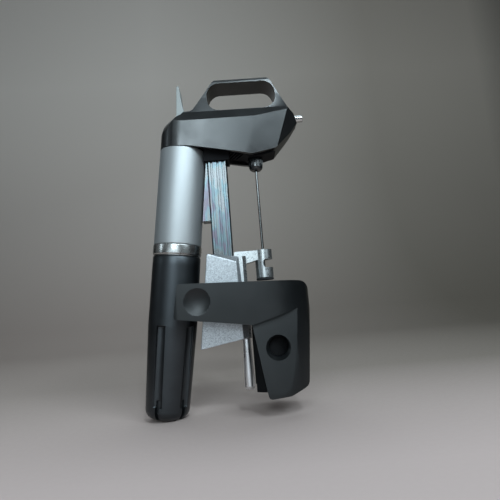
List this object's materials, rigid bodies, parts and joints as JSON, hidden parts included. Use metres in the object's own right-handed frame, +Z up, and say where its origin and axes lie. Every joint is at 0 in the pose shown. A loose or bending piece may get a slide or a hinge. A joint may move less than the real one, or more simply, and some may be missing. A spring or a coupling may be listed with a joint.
{
  "type": "needle wine opener",
  "caption": "Hand-held needle wine opener: sliding head with a loop handle, gas column with a screw-on capsule cup, guided needle, and a sprung two-jaw clamp for a bottle's neck.",
  "frame": {"origin": "on the needle's axis, in the bottom face of the foot pad, where the mouth of the bottle meets it", "axes": "+Z up along the needle, +X towards the pouring spout, +Y towards the far clamp"},
  "size_m": [0.1156, 0.055, 0.2209],
  "materials": {
    "satin_black": "satin moulded",
    "matte_black": "matte moulded",
    "rubber": "matte",
    "satin_aluminium": "satin blasted",
    "sparkle_silver": "silver metallic paint",
    "clear_anodised": "bright anodised",
    "bright_chrome": "polished",
    "steel": "ground",
    "pale_plastic": "satin",
    "brass": "turned"
  },
  "bodies": {
    "clamp_body": {"clamp_core": "sparkle_silver", "near_side_cover": "sparkle_silver", "far_side_cover": "sparkle_silver", "near_upper_cover_screw": "steel", "near_lower_cover_screw": "steel", "far_upper_cover_screw": "steel", "far_lower_cover_screw": "steel", "near_slide_liner": "matte_black", "far_slide_liner": "matte_black", "upper_guide_bush": "matte_black", "lower_guide_bush": "matte_black", "foot_pad": "rubber", "near_clamp_rod": "bright_chrome", "far_clamp_rod": "bright_chrome"},
    "head": {"head_shell": "satin_black", "head_chassis": "matte_black", "near_chassis_screw": "steel", "far_chassis_screw": "steel", "trigger_pin": "steel", "valve_spring": "steel", "hub_seat": "brass", "gas_tube": "steel", "wine_tube": "steel", "spout_tube": "steel", "needle_hub": "matte_black", "needle": "steel", "rail": "clear_anodised", "rail_end_stop": "matte_black", "regulator_body": "satin_aluminium", "regulator_piston": "brass", "regulator_spring": "steel", "piercing_pin": "steel", "capsule_seal": "rubber", "collar_ring": "bright_chrome"},
    "trigger": {"trigger": "pale_plastic"},
    "valve": {"valve_pin": "steel"},
    "capsule": {"gas_capsule": "steel"},
    "cup": {"capsule_cup": "satin_black"},
    "near_clamp": {"near_clamp": "satin_black", "near_jaw_pad": "rubber", "near_clamp_spring": "steel"},
    "far_clamp": {"far_clamp": "satin_black", "far_jaw_pad": "rubber", "far_clamp_spring": "steel"}
  },
  "joints": [
    {"name": "head_slide", "type": "slide", "parent": "clamp_body", "child": "head", "axis": [0, 0, -1], "range_m": [0, 0.053]},
    {"name": "trigger_pull", "type": "hinge", "parent": "head", "child": "trigger", "pos_m": [-0.052, 0, 0.105], "axis": [0, 1, 0], "range_deg": [0, 12], "stiffness_Nm_per_rad": 0.5, "springref_deg": -14.32},
    {"name": "valve_press", "type": "slide", "parent": "head", "child": "valve", "axis": [-0.1115, 0, -0.9938], "range_m": [0, 0.0012], "deforming": ["valve_spring"]},
    {"name": "cup_travel", "type": "slide", "parent": "head", "child": "capsule", "axis": [-0.1115, 0, -0.9938], "range_m": [0, 0.0045]},
    {"name": "cup_turn", "type": "hinge", "parent": "capsule", "child": "cup", "pos_m": [-0.0589, 0, 0], "axis": [-0.1115, 0, -0.9938], "range_deg": [0, 1110]},
    {"name": "near_clamp_hinge", "type": "hinge", "parent": "clamp_body", "child": "near_clamp", "pos_m": [-0.0152, -0.007, -0.017], "axis": [0, 0, -1], "range_deg": [0, 9], "stiffness_Nm_per_rad": 1.5, "springref_deg": -17.19},
    {"name": "far_clamp_hinge", "type": "hinge", "parent": "clamp_body", "child": "far_clamp", "pos_m": [-0.0152, 0.007, -0.017], "axis": [0, 0, 1], "range_deg": [0, 9], "stiffness_Nm_per_rad": 1.5, "springref_deg": -17.19}
  ],
  "couplings": [
    {"joint": "valve_press", "follows": "trigger_pull", "m_per_rad": 0.005},
    {"joint": "cup_turn", "follows": "cup_travel", "rad_per_m": 4188.8}
  ]
}
